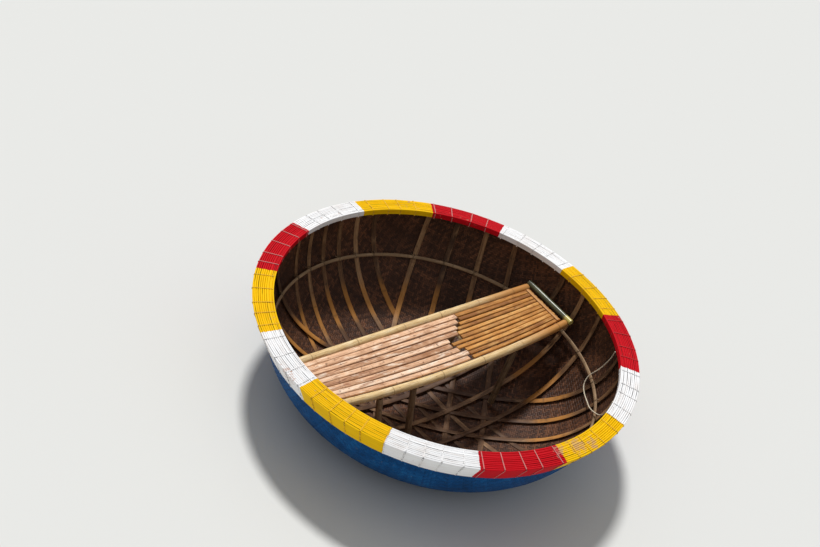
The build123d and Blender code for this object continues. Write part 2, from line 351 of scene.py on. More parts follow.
class Path:
    """A line through points, each with the direction that faces away from what carries it."""

    def __init__(self, points, faces):
        self.points = [Vector(point) for point in points]
        self.faces = [Vector(face) for face in faces]
        self.marks = [0.0]
        for before, after in zip(self.points, self.points[1:]):
            self.marks.append(self.marks[-1] + (after - before).length)
        self.length = self.marks[-1]

    def at(self, distance):
        """The point there, and the directions across and away."""
        low = min(max(bisect_right(self.marks, distance) - 1, 0), len(self.points) - 2)
        share = (distance - self.marks[low]) / (self.marks[low + 1] - self.marks[low])
        point = self.points[low].lerp(self.points[low + 1], share)
        ahead = self.heading(low).lerp(self.heading(low + 1), min(max(share, 0), 1))
        away = self.faces[low].lerp(self.faces[low + 1], min(max(share, 0), 1))
        across = ahead.cross(away).normalized()
        return point, across, across.cross(ahead).normalized()

    def heading(self, index):
        before = self.points[max(index - 1, 0)]
        after = self.points[min(index + 1, len(self.points) - 1)]
        return (after - before).normalized()


def evenly(start, end, steps):
    """Evenly spaced values from the start to the end."""
    return [start + (end - start) * step / steps for step in range(steps + 1)]


def level_path(points, away=(0, 0, 1)):
    """A path that faces one way all along."""
    return Path(points, [away] * len(points))


KNOT_FREE_END = 10 * MM
KNOT_REACH = 7 * MM                # how far a knot swells and darkens, each way
GRAIN_SHIFT = 37.7                 # metres of grain between a bar of tone 0 and one of tone 1
HOLLOW_DEPTH = 14 * MM
HOLLOW_WALL = 0.24                 # of the radius


def knots_along(length, spacing, draw):
    """Where a culm's knots are, unevenly spaced and in step with nothing."""
    places = []
    mark = draw.uniform(0.2, 0.9) * spacing
    while mark < length - KNOT_FREE_END:
        places.append(mark)
        mark += spacing * draw.uniform(0.85, 1.15)
    return places


def squarer(value, power):
    """A coordinate of the unit circle, moved outwards. The lower the power, the squarer."""
    return math.copysign(abs(value) ** power, value)


def round_section(x, y, swell):
    """A section's shape: where a point of the unit circle goes, and how much a knot swells it."""
    return x * swell, y * swell


def add_bar(bm, path, half_width, half_height, shape=round_section, sides=16, step=12 * MM,
            knots=(), knot_size=0.06, tone=0.5, hollow=False, warp=None):
    """A bar along a path. Its grain is stored as a UV map, its knots and tone as attributes."""
    grain = bm.loops.layers.uv.get("grain") or bm.loops.layers.uv.new("grain")
    knot_layer = bm.verts.layers.float.get("knot") or bm.verts.layers.float.new("knot")
    tone_layer = bm.verts.layers.float.get("tone") or bm.verts.layers.float.new("tone")
    first_vert, first_face = len(bm.verts), len(bm.faces)
    bmesh.ops.create_cone(bm, cap_ends=True, segments=sides, radius1=1, radius2=1, depth=1,
                          matrix=Matrix.Translation((0, 0, 0.5)))
    bm.verts.ensure_lookup_table()
    bm.faces.ensure_lookup_table()
    if hollow:
        caps = [face for face in bm.faces[first_face:] if abs(face.normal.z) > 0.9]
        bmesh.ops.inset_individual(bm, faces=caps, thickness=HOLLOW_WALL)
        for face in caps:
            inwards = 1 if face.calc_center_median().z < 0.5 else -1
            push = HOLLOW_DEPTH / path.length * inwards
            for vert in face.verts:
                vert.co.z += push
    bm.verts.ensure_lookup_table()
    # the cylinder is one unit long and wide here, so its long outer edges are easily told
    mine = set(bm.verts[first_vert:])
    runs = [
        edge for edge in bm.edges
        if edge.verts[0] in mine and abs(edge.verts[0].co.z - edge.verts[1].co.z) > 0.8
        and math.hypot(*edge.verts[0].co.xy) > 0.95
    ]
    cuts = max(round(path.length / step) - 1, 1)
    bmesh.ops.subdivide_edges(bm, edges=runs, cuts=cuts, use_grid_fill=True)
    bm.verts.ensure_lookup_table()
    bm.faces.ensure_lookup_table()
    offset = tone * GRAIN_SHIFT
    around = math.pi * (half_width + half_height)
    for face in bm.faces[first_face:]:
        spots = [loop.vert.co for loop in face.loops]
        turns = [math.atan2(spot.x, spot.y) / (2 * math.pi) for spot in spots]
        wrapped = max(turns) - min(turns) > 0.5 and len(turns) < 5
        for loop, turn in zip(face.loops, turns):
            turn += 1 if wrapped and turn < 0 else 0
            loop[grain].uv = (loop.vert.co.z * path.length + offset, turn * around + offset)
    for vert in bm.verts[first_vert:]:
        distance = vert.co.z * path.length
        nearest = min([abs(distance - knot) for knot in knots], default=1)
        vert[knot_layer] = math.exp(-(nearest / KNOT_REACH) ** 2)
        vert[tone_layer] = tone
        swell = 1 + knot_size * vert[knot_layer]
        across_share, away_share = shape(vert.co.x, vert.co.y, swell)
        point, across, away = path.at(distance)
        if warp:
            point = point + warp(distance, across, away)
        vert.co = point + across * (across_share * half_width) + away * (away_share * half_height)
    bmesh.ops.recalc_face_normals(bm, faces=bm.faces[first_face:])


# Finishes. Lengths in them are metres, and scales are noise cells to a metre.
RED, YELLOW, WHITE = "cf0d1d", "fcc900", "fcfcfc"
PAINT_TURNS = (
    # where each colour starts, in degrees from -X and anticlockwise from above
    (0.0, WHITE), (3.1, YELLOW), (31.4, WHITE), (58.4, RED), (84.6, YELLOW),
    (112.0, WHITE), (136.6, RED), (162.0, YELLOW), (187.0, WHITE), (211.0, RED),
    (236.2, YELLOW), (260.2, WHITE), (286.5, RED), (313.0, YELLOW), (341.5, WHITE),
)
DARK_RED_TURNS = (0.37, 0.46)      # shares of the round where lashings are dark on red too
RUBBED_SPOTS = (
    # where the paint is rubbed away: degrees from +X, radius, and how far the rubbing reaches
    (-87.5, 1.030, 0.055),
    (-94.0, 1.020, 0.030),
    (-82.0, 1.055, 0.030),
    (177.0, 1.095, 0.022),
    (180.0, 1.100, 0.025),
)


def rubbed_away(x, y, chips):
    """How much of the paint is rubbed away at the spots, with edges broken up by the chips."""
    worn = 0
    for degrees, radius, reach in RUBBED_SPOTS:
        angle = math.radians(degrees)
        away = ((x - radius * math.cos(angle)) ** 2 + (y - radius * math.sin(angle)) ** 2) ** 0.5
        edge = (away + (chips - 0.5) * 0.22).between(reach * 0.4, reach * 1.1)
        worn = (1 - edge) * 0.6 + worn
    return worn


def rim_paint(name, line=False):
    """Worn paint in fourteen stretches over bent laths, or over the line that binds them."""
    finish = Finish(name)
    place = finish.place()
    x, y, z = finish.parts(place)
    radius = (x * x + y * y) ** 0.5
    angle = finish.add("ShaderNodeMath", {"operation": "ARCTAN2"}, (y, x))
    wobble = finish.noise(place, 45, 3) - 0.5
    turn = (angle + math.pi + wobble * 0.012) / (2 * math.pi)
    stops = [(degrees / 360, value) for degrees, value in PAINT_TURNS]
    paint = finish.ramp(turn, "CONSTANT", *stops)
    is_red = finish.parts(paint)[1] < 0.1
    along = finish.vector(x / radius * 7, y / radius * 7, (radius + z) * 260)
    streak = finish.noise(along, 1, 4, 0.6)
    cloud = finish.noise(place, 6, 3)
    shade = streak.between(0.45, 0.75) * 0.28 + cloud.between(0.5, 0.8) * 0.14
    base = finish.mix(shade, paint, "b98a50", "MULTIPLY")
    laths_out = (radius - hull_top_radius) / lath_pitch
    seam = abs(laths_out.fraction() - 0.5)
    if line:
        # the tone tells the strands from the shadow that they cast
        shadow = finish.attribute("tone") < 0.1
        over_gap = seam.between(0.1, 0.3) * 0.7 + 0.3
        broken = finish.noise(place, 55, 2).between(0.48, 0.56) * over_gap
        low_turn, high_turn = DARK_RED_TURNS
        dark_red = (turn > low_turn) * (turn < high_turn)
        bare = cloud * 0.08 + 0.04 + is_red * (1 - dark_red) * 0.3
        dull = finish.mix(bare, base, "eadfd6")
        base = finish.mix(shadow * 0.85, dull, base)
        base = finish.mix(shadow * broken * 0.95, base, "1e130d")
        return finish.done(base, 0.6, streak, 0.3 * MM, 0.1)
    # the gaps between laths are painted dark as shade, on the rim's top alone, every second one
    # the most
    below = top_height(radius) - z
    seam = seam * (1 - below.between(4 * MM, 9 * MM))
    gap_number = (laths_out + 0.5).floor()
    open_gap = finish.noise(finish.vector(angle * 3.1, gap_number * 5.3), 1, 3, 0.6)
    deep = (gap_number % 2) < 0.5
    opened = open_gap.between(0.42, 0.6) * 0.55 + deep * 0.25 + 0.1
    narrow = seam.between(0.40, 0.5) * opened * (is_red * 0.7 + 1)
    wide = seam.between(0.30, 0.42) * open_gap.between(0.50, 0.6) * deep * 0.85
    # painted shade: the paint darkened, then near black, in the gaps between laths
    shaded_paint = finish.mix(0.75, paint, "1c100a", "MULTIPLY")
    base = finish.mix((narrow + wide).limited(), base, shaded_paint)
    base = finish.mix((wide * 0.8 + narrow * deep * 0.3).limited(), base, "1c100a")
    chips = finish.noise(place, 38, 5, 0.7)
    scuff = finish.noise(place, 3.2, 2)
    worn = chips.between(0.63, 0.66) * scuff.between(0.5, 0.68)
    worn = (worn + rubbed_away(x, y, chips)).limited()
    base = finish.mix(worn, base, "c39a84")
    height = streak * 0.25 + cloud * 0.3 - worn * 0.3 - seam.between(0.40, 0.5) * 0.4
    return finish.done(base, 0.5 + streak * 0.2 + worn * 0.25, height, 1.2 * MM, 0.1)


WEAVE_PITCH = 12 * MM
MAT_TURN = math.radians(39.5)      # how the mat's strips lie, from +X


def weave(finish):
    """A twill of flat strips, two over and two under, on the mat's own map.

    Its height, each strip's own tone and the fibres along the strips.
    """
    u, v, _ = finish.parts(finish.uv("mat"))
    slack = finish.noise(finish.vector(u, v), 9, 2) * 0.006
    across, down = (u + slack) / WEAVE_PITCH, (v - slack) / WEAVE_PITCH
    column, row = across.floor(), down.floor()
    step = (column + row) % 4
    upright = step < 1.5
    lying = 1 - upright
    over = across.fraction() * upright + down.fraction() * lying
    float_share = (step % 2 + down.fraction() * upright + across.fraction() * lying) / 2
    crown = 1 - abs(over * 2 - 1) ** 4
    rise = (float_share * math.pi).sine()
    height = crown * (rise * 0.55 + 0.45)
    strip = finish.vector(column * upright, row * lying, upright * 7)
    tone = finish.add("ShaderNodeTexWhiteNoise", inputs={"Vector": strip})
    along = finish.vector(
        across * upright * 9 + down * upright * 0.6,
        down * lying * 9 + across * lying * 0.6,
        upright * 3,
    )
    fibre = finish.noise(along, 1, 3, 0.6)
    return height, tone, fibre


def hull_inside():
    """Dark, wet-looking resin on the woven mat, browner where it has worn."""
    finish = Finish("resined_weave")
    place = finish.place()
    height, tone, fibre = weave(finish)
    cloud = finish.noise(place, 4.5, 4, 0.6)
    share = tone * 0.17 + fibre * 0.5 + cloud * 0.36 - 0.02
    stops = (0.2, "190d08"), (0.48, "472b1b"), (0.74, "94603f")
    base = finish.ramp(share, "LINEAR", *stops)
    # painted shade: the low parts between the weave's strips are darkened as shade in its hollows
    gap = 1 - height.between(0.15, 0.55)
    base = finish.mix(gap * 0.85, base, "0d0705")
    wet = finish.noise(place, 2.2, 2).between(0.35, 0.65)
    return finish.done(base, 0.5 + fibre * 0.25 - wet * 0.12, height, 2.4 * MM, 0.3)


def hull_outside():
    """Blue paint over the weave, scuffed near the water and under the rim."""
    finish = Finish("blue_hull_paint")
    place = finish.place()
    height, tone, fibre = weave(finish)
    cloud = finish.noise(place, 5, 4, 0.6)
    stops = (0.25, "022c54"), (0.6, "044a82"), (0.9, "1b6ba8")
    base = finish.ramp(cloud * 0.8 + tone * 0.25, "LINEAR", *stops)
    scuff = finish.noise(place, 26, 5, 0.7).between(0.62, 0.7) * cloud.between(0.45, 0.6)
    base = finish.mix(scuff * height.between(0.5, 0.9), base, "6f7d84")
    return finish.done(base, 0.5 + fibre * 0.15 + scuff * 0.2, height, 1.6 * MM, 0.12)


def bamboo(name, colours, ringed=0.35, roughness=0.5, streaked=0.0, shine=0.3, extra=None):
    """Bare bamboo: long fibres, darker knots and weather stains, along the piece's own grain.

    The colours are a pale one, a middle one, a dark one and the knots'. ringed and streaked say
    how much the knots and the splits show, and extra colours the piece by its place on the boat.
    """
    finish = Finish(name)
    pale, middle, dark, knot = colours.split()
    u, v, _ = finish.parts(finish.uv("grain"))

    def streaks(along, across, detail=3, roughness=0.6, past=0):
        return finish.noise(finish.vector(u * along, v * across + past), 1, detail, roughness)

    fibre = streaks(5, 420, 4, 0.65)
    stain = streaks(9, 26, 4, 0.65)
    speck = streaks(60, 160, 3, 0.7)
    knots = finish.attribute("knot")
    tone = finish.attribute("tone")
    share = fibre * 0.42 + stain * 0.5 + (tone - 0.5) * 0.3 + 0.02
    base = finish.ramp(share, "LINEAR", (0.28, dark), (0.5, middle), (0.7, pale))
    if streaked:
        split = streaks(10, 190)
        bleached = streaks(9, 75, past=9)
        blot = streaks(34, 70, past=4)
        base = finish.mix(bleached.between(0.5, 0.68) * streaked * 0.75, base, pale)
        base = finish.mix(split.between(0.56, 0.66) * streaked, base, dark)
        base = finish.mix(blot.between(0.62, 0.69) * streaked, base, knot)
        ridge = streaks(2.2, 85, 2, 0.5, past=2)
        crack = (1 - abs(ridge - 0.5).between(0.008, 0.03)) * stain.between(0.38, 0.6)
        base = finish.mix(crack * streaked, base, dark, "MULTIPLY")
    if extra:
        base = extra(finish, base, stain)
    ring = knots.between(0.45, 1.0) * (0.5 + stain)
    base = finish.mix((ring * ringed).limited(), base, knot)
    marks = speck.between(0.62, 0.72) * stain.between(0.35, 0.6)
    base = finish.mix(marks * 0.6, base, knot)
    height = fibre * 0.5 + stain * 0.3
    return finish.done(base, roughness + fibre * 0.2, height, 0.5 * MM, shine)


def wet_lit_and_shaded_low(finish, base, stain):
    """Ribs are golden low on the walls, painted sunlight on wet bamboo, and darker on the floor,
    partly grime and partly painted shade.
    """
    z = finish.parts(finish.place())[2]
    # painted sunlight: a golden band just above the floor, where the sun falls on wet bamboo
    sunlit_wet_band = z.between(0.02, 0.05) * (1 - z.between(0.11, 0.19)) * stain.between(0.25, 0.5)
    base = finish.mix(sunlit_wet_band * 0.65, base, "d08c3c")
    # darker on the floor: partly wet grime, partly painted shade
    grime_and_shade = (1 - z.between(0.0, 0.04)) * (1 - stain.between(0.45, 0.65) * 0.6)
    return finish.mix(grime_and_shade * 0.6, base, "4a3022")


def amber_end(finish, base, stain):
    """The bench's poles turn amber towards the right end."""
    x = finish.parts(finish.place())[0]
    share = x.between(0.35, 0.8) * (0.6 + stain * 0.5)
    return finish.mix(share.limited(), base, "bd7c34")


def knob_end(finish, base, stain):
    """The pole across the bench's right end is pale where it sticks out in front."""
    y = finish.parts(finish.place())[1]
    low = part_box("bench_right_end_pole")[0].y
    share = (1 - y.between(low + 35 * MM, low + 60 * MM)) * (0.7 + stain * 0.3)
    return finish.mix(share, base, "d8c468")


def rope_fibre():
    """Off-white laid fibre, grubby in the lay."""
    finish = Finish("rope_fibre")
    u, v, _ = finish.parts(finish.uv("grain"))
    fibre = finish.noise(finish.vector(u * 300, v * 900), 1, 3, 0.6)
    base = finish.ramp(fibre, "LINEAR", (0.3, "b29c7a"), (0.6, "f4ead2"))
    return finish.done(base, 0.8, fibre, 0.3 * MM)


# The rim
def lath_corners(near, far, bottom_z):
    """A lath's section between two insets, clockwise from its inner top corner."""
    corners = []
    for inset in (near, far):
        radius = wall_line(inset, rim_z)
        corners.append((wall_line(inset, top_height(radius)), top_height(radius)))
    return corners + [(wall_line(inset, bottom_z), bottom_z) for inset in (far, near)]


def uneven(bm, seed, sideways, upright):
    """Laths bent by hand waver a little in width and height."""
    radial, vertical = waves(seed, 5, 9, 14, 23), waves(seed + 50, 4, 11, 17, 29)
    for vert in bm.verts:
        angle = math.atan2(vert.co.y, vert.co.x)
        radius = math.hypot(vert.co.x, vert.co.y)
        scale = 1 + radial(angle) * sideways / radius
        vert.co.x *= scale
        vert.co.y *= scale
        vert.co.z += vertical(angle) * upright
    return bm


def add_ring(name, node, corners, rounded, seed, waver, paint):
    """One lath, cap or band of the rim. waver is how far it strays sideways and upright."""
    bm = uneven(spun_ring(corners, rounded), seed, *waver)
    dress(name, bm, [paint], "painted_rim", node)


def make_rim(paint):
    """Each lath, cap and band as a ring with eased edges, wavering by up to a millimetre."""
    lath_width = lath_pitch * math.cos(LEAN)
    eased = {0: 4.6 * MM, 1: 4.6 * MM}
    for number, (low, _) in enumerate(lath_boxes):
        near = -(CLEARANCE + number * lath_width)
        corners = lath_corners(near, near - lath_width + LATH_GAP, low.z)
        node = f"rim_lath_{number + 1}"
        add_ring(f"painted_{node}", node, corners, eased, number, (0.5 * MM, 1 * MM), paint)
    cap_width = (band_inset - CLEARANCE) / CAP_COUNT
    eased = {0: 4 * MM, 1: 4 * MM}
    for number in range(CAP_COUNT):
        node = f"rim_cap_{number + 1}"
        low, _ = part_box(node)
        near = number * cap_width
        corners = lath_corners(near + cap_width - LATH_GAP, near, low.z)
        add_ring(f"painted_{node}", node, corners, eased, 20 + number, (0.4 * MM, 1 * MM), paint)
    corners = lath_corners(band_inset, band_inset + BAND_THICKNESS, band_low.z)
    eased = {0: 3 * MM, 1: 3 * MM}
    waver = 0.3 * MM, 0.8 * MM
    add_ring("painted_inner_band", "rim_inner_band", corners, eased, 31, waver, paint)
    step = BAND_THICKNESS / math.cos(OUTER_LEAN)
    corners = [
        (rim_radius, outer_high.z),
        (outer_bottom_radius, outer_low.z),
        (outer_bottom_radius - step, outer_low.z),
        (rim_radius - step, outer_high.z),
    ]
    eased = {0: 8 * MM, 1: 4 * MM, 3: 2 * MM}
    waver = 0.6 * MM, 0.8 * MM
    add_ring("painted_outer_band", "rim_outer_band", corners, eased, 41, waver, paint)


LASHING_COUNT = 62
STRANDS = (
    # in millimetres, but for the tone: how far beside the middle, radius, tone, how far sunk
    # into the rim's sides, and how far into its top. Tone 0 is the shadow beside a strand.
    (-1.2, 1.2, 0.6, 0.3, 0.0),
    (1.2, 1.2, 0.8, 0.3, 0.0),
    (-2.9, 0.9, 0.0, 0.9, 0.7),
    (2.9, 0.9, 0.0, 0.9, 0.7),
)


def make_lashings(paint):
    """Two strands side by side over the rim at each lashing, each with its shadow beside it."""
    bm = bmesh.new()
    draw = random.Random(7)
    profile = (
        (rim_inner_radius - 1 * MM, band_low.z - 6 * MM),
        (rim_inner_radius - 1 * MM, rim_z - 6 * MM),
        (rim_inner_radius + 4 * MM, rim_z + 1 * MM),
        (rim_radius - 4 * MM, outer_high.z + 1.4 * MM),
        (rim_radius + 1 * MM, outer_high.z - 3 * MM),
        (outer_bottom_radius + 1.5 * MM, outer_low.z + 2 * MM),
        (outer_bottom_radius - 8 * MM, outer_low.z - 2 * MM),
    )
    rim_middle = rim_radius - RIM_WIDTH / 2
    for number in range(LASHING_COUNT):
        middle = 2 * math.pi * (number + 0.5) / LASHING_COUNT + draw.uniform(-0.018, 0.018)
        slant = draw.uniform(-0.008, 0.008)
        for aside, strand, tone, inwards, down in STRANDS:
            points = []
            for index, (radius, z) in enumerate(profile):
                angle = middle + aside * MM + slant * (index / 3 - 1)
                sunk = radius - inwards * MM * math.copysign(1, radius - rim_middle)
                points.append((sunk * math.cos(angle), sunk * math.sin(angle), z - down * MM))
            away = Vector((math.cos(middle) * 0.3, math.sin(middle) * 0.3, 1))
            path = level_path(points, away)
            add_bar(bm, path, strand * MM, strand * MM, sides=6, step=10 * MM, tone=tone)
    dress("rim_lashings", bm, [paint], "painted_rim")


# The woven bowl
MAT_STEPS = 64


def make_hull(inside, outside):
    """The mat as one closed shell, whose map lies flat as the mat did before it was pressed."""
    bm = bmesh.new()
    lines = []
    for inset in (0, HULL_THICKNESS):
        points = []
        for length in evenly(0, floor_length + bilge_length, MAT_STEPS):
            if length < floor_length:
                turn = length / FLOOR_CURVE
                curve = FLOOR_CURVE - inset
                points.append((curve * math.sin(turn), floor_centre_z - curve * math.cos(turn)))
            else:
                turn = floor_turn + (length - floor_length) / BILGE_CURVE
                curve = BILGE_CURVE - inset
                points.append((bilge_x + curve * math.sin(turn), bilge_z - curve * math.cos(turn)))
        points.append((wall_line(inset, edge_z), edge_z))
        lines.append(points)
    outline = lines[0] + lines[1][::-1]
    verts = [bm.verts.new((max(radius, 0), 0, z)) for radius, z in outline]
    for before, after in zip(verts, verts[1:]):
        bm.edges.new((before, after))
    spin_round(bm, 0.05 * MM)
    mat = bm.loops.layers.uv.new("mat")
    for face in bm.faces:
        centre = face.calc_center_median()
        facing = face.normal.dot(inward_at(centre))
        face.material_index = 0 if facing > 0 else 1
        for loop in face.loops:
            spot = loop.vert.co
            length = mat_length(spot)
            angle = math.atan2(spot.y, spot.x) - MAT_TURN
            loop[mat].uv = (length * math.cos(angle), length * math.sin(angle))
    dress("woven_hull", bm, [inside, outside], "painted_hull", "hull_basket")


# Ribs and hoop
RIB_STEPS = 48
HOOP_HEIGHT = 22 * MM
HOOP_THICKNESS = 10 * MM           # a little thinner than the solid, as it shows
HOOP_LOW_SIDE = math.radians(29)
HOOP_STEPS = 240
TIE_RADIUS = 1.2 * MM
TIE_REACH = 17 * MM                # how far a tie's ends are from the crossing, up and down
TIE_SPREAD = 11 * MM               # and along the hoop
TIE_STRAND = 1.3 * MM              # from the middle of a tie's two strands to each


def strip_section(x, y, swell):
    """A split culm: square-shouldered, flat against the wall and crowned on the other side."""
    across = squarer(x, 0.45)
    lift = squarer(y, 0.6) * (1 - 0.35 * across ** 2 if y > 0 else 1)
    return across * (1 + (swell - 1) * 0.5), lift * (swell if y > 0 else 1)


def rib_path(direction, offset, inset):
    """Down one wall, over the floor and up the other, in a plane that leans to the middle."""
    ahead = Vector((math.cos(direction), math.sin(direction), 0))
    left = Vector((-math.sin(direction), math.cos(direction), 0))

    def shift(z):
        return offset * (1 - (z - keel_z) / RIB_GATHER_HEIGHT)

    # the height at which the leaning plane meets the bowl's lowest line, found by halving
    low, high = keel_z + inset, edge_z
    for _ in range(40):
        middle = (low + high) / 2
        if bowl_radius(inset, middle) < abs(shift(middle)):
            low = middle
        else:
            high = middle
    half = []
    for share in evenly(0, 1, RIB_STEPS):
        z = high + (edge_z - high) * share ** 2
        reach = math.sqrt(max(bowl_radius(inset, z) ** 2 - shift(z) ** 2, 0))
        half.append((reach, shift(z), z))
    points, faces = [], []
    for reach, aside, z in [(-r, a, z) for r, a, z in half[:0:-1]] + half:
        points.append(ahead * reach + left * aside + Vector((0, 0, z)))
        faces.append(inward_at(points[-1]))
    return Path(points, faces)


def make_ribs(finish):
    """Every rib as a bent strip. Returns the lines that they follow, each with its inset."""
    paths = []
    draw = random.Random(3)
    lowest = HULL_THICKNESS + CLEARANCE + RIB_THICKNESS / 2
    for level, (name, direction, count, spacing, middle) in enumerate(RIB_SETS):
        inset = lowest + level * (RIB_THICKNESS + CLEARANCE)
        for number in range(count):
            offset = middle + ((count - 1) / 2 - number) * spacing
            path = rib_path(math.radians(direction), offset, inset)
            paths.append((path, inset))
            bm = bmesh.new()
            knots = knots_along(path.length, 0.27, draw)
            add_bar(bm, path, RIB_WIDTH / 2, RIB_THICKNESS / 2, strip_section, sides=14,
                    step=16 * MM, knots=knots, knot_size=0.3, tone=draw.random())
            node = f"{name}_{number + 1}"
            dress(f"split_{node}", bm, [finish], "rib_bamboo", node)
    return paths


def hoop_section(x, y, swell):
    """A flattened round, with a knot swelling it all round."""
    return squarer(x, 0.6) * swell, squarer(y, 0.7) * swell


def make_hoop(finish):
    """The hoop follows the wall in a plane tilted by less than two degrees."""
    low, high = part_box("wall_hoop")
    reach = (high.x - low.x) / 2
    slope = (high.z - low.z - HOOP_HEIGHT) / (2 * reach)
    middle_z = (low.z + high.z) / 2
    inset = band_inset + HOOP_THICKNESS / 2
    points, faces = [], []
    for angle in evenly(0, 2 * math.pi, HOOP_STEPS):
        z = middle_z - slope * reach * math.cos(angle - HOOP_LOW_SIDE)
        radius = bowl_radius(inset, z)
        points.append(Vector((radius * math.cos(angle), radius * math.sin(angle), z)))
        faces.append(inward_at(points[-1]))
    path = Path(points, faces)
    draw = random.Random(5)
    bm = bmesh.new()
    knots = knots_along(path.length, 0.25, draw)
    add_bar(bm, path, HOOP_HEIGHT / 2 - 1 * MM, HOOP_THICKNESS / 2, hoop_section, sides=14,
            step=14 * MM, knots=knots, knot_size=0.06, tone=0.5)
    dress("split_hoop", bm, [finish], "hoop_bamboo", "wall_hoop")
    return path


def hoop_place(hoop, spot):
    """How far along the hoop's line it passes a point of a rib."""
    return hoop.length * (math.atan2(spot.y, spot.x) % (2 * math.pi)) / (2 * math.pi)


def above_hoop(hoop, spot):
    """How far above the hoop's line a point of a rib is."""
    return spot.z - hoop.at(hoop_place(hoop, spot))[0].z


def make_ties(hoop, ribs, finish):
    """Cane lashed crosswise over the hoop wherever it passes a rib."""
    draw = random.Random(23)
    bm = bmesh.new()
    rise, lift = HOOP_HEIGHT / 2, HOOP_THICKNESS / 2 + TIE_RADIUS * 0.6
    for rib, inset in ribs:
        depth = band_inset + HOOP_THICKNESS / 2 - inset - RIB_THICKNESS / 2 + TIE_RADIUS
        # how far along the hoop, as a share of the spread, how far up, and how far out
        outline = (
            (-1.0, TIE_REACH, -depth),
            (-0.75, rise + 1 * MM, -lift * 0.5),
            (-0.55, rise - 2 * MM, lift * 0.9),
            (0.0, 0.0, lift * 1.05),
            (0.55, 2 * MM - rise, lift * 0.9),
            (0.75, -rise - 1 * MM, -lift * 0.5),
            (1.0, -TIE_REACH, -depth),
        )
        for first, second in zip(rib.points, rib.points[1:]):
            start, end = above_hoop(hoop, first), above_hoop(hoop, second)
            if (start > 0) == (end > 0):
                continue
            crossing = first.lerp(second, start / (start - end))
            point, upward, away = hoop.at(hoop_place(hoop, crossing))
            upward = upward if upward.z > 0 else -upward
            along = upward.cross(away)
            for side in (-1, 1):
                for beside in (-TIE_STRAND, TIE_STRAND):
                    shift = beside + draw.uniform(-1, 1) * MM
                    points = []
                    for share, up, out in outline:
                        aside = along * (side * share * TIE_SPREAD + shift)
                        points.append(point + aside + upward * up + away * out)
                    path = level_path(points, away)
                    add_bar(bm, path, TIE_RADIUS, TIE_RADIUS, sides=5, step=6 * MM,
                            tone=draw.random())
    dress("hoop_ties", bm, [finish], "hoop_bamboo")


# The bench
POLE_RADIUS = 24 * MM
POLE_SPAN = 0.880
POLE_LINES = {
    # y at the left and right end, and how far the middle bows towards -Y
    "front": (-0.118, -0.102, 0.054),
    "back": (0.231, 0.237, 0.0),
}
KNOT_ROOM = 1 * MM                 # an edge pole is this much thinner than its knots
POLE_BEND = 1.5 * MM
POLE_STEPS = 40
BAR_SHARE = 0.96                   # of the solid's radius, which leaves room for knots
SLAT_THICKNESS = 12 * MM
SLAT_GAP = 3 * MM
SLAT_BREAK = 0.180                 # about where the left slats end and the right ones start
LEFT_SLAT_ENDS = (-0.060, -0.035, -0.075, -0.100, -0.085, 0.010, 0.035, 0.070, 0.095)
RIGHT_SLAT_COUNT = 11
SLAT_DRIFT = 0.3                   # of a right slat's width, by which it may miss the left ones
SLAT_STEPS = 12
LEG_RADIUS = 19 * MM

pole_low, pole_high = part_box("bench_front_pole")
pole_z = (pole_low.z + pole_high.z) / 2
slats_low, slats_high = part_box("bench_left_slats")


def pole_y(name, x):
    """The middle of an edge pole at a distance along the bench."""
    left_y, right_y, bow = POLE_LINES[name]
    share = x / POLE_SPAN
    return (left_y + right_y) / 2 + (right_y - left_y) / 2 * share - bow * (1 - share ** 2)


def make_edge_poles(finish):
    """The round poles along the bench's edges, each a little uneven between its ends."""
    draw = random.Random(11)
    radius = POLE_RADIUS - KNOT_ROOM
    for seed, name in enumerate(POLE_LINES, start=21):
        node = f"bench_{name}_pole"
        low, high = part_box(node)
        xs = evenly(low.x + 1 * MM, high.x - 1 * MM, POLE_STEPS)
        path = level_path([(x, pole_y(name, x), pole_z) for x in xs])
        bend = waves(seed, 2, 3, 5)

        def warp(distance, across, away, bend=bend, length=path.length):
            middle = math.sin(math.pi * distance / length)
            return across * (bend(distance * 2) * POLE_BEND * middle)

        bm = bmesh.new()
        knots = knots_along(path.length, 0.31, draw)
        add_bar(bm, path, radius, radius, sides=24, step=9 * MM, knots=knots, knot_size=0.045,
                tone=0.5, hollow=True, warp=warp)
        dress(f"bamboo_{name}_pole", bm, [finish], "pole_bamboo", node)


def slat_edges(x):
    """The y of the room for slats between the poles, at a distance along the bench."""
    room = POLE_RADIUS + SLAT_GAP
    return pole_y("front", x) + room, pole_y("back", x) - room


def slat_section(x, y, swell):
    """A nearly square section, eased at its upper edges, with knots that stand up."""
    across = squarer(x, 0.3)
    lift = squarer(y, 0.4)
    if y > 0:
        lift *= 1 - 0.12 * abs(across) ** 6
    return across, lift * (swell if y > 0 else 1)


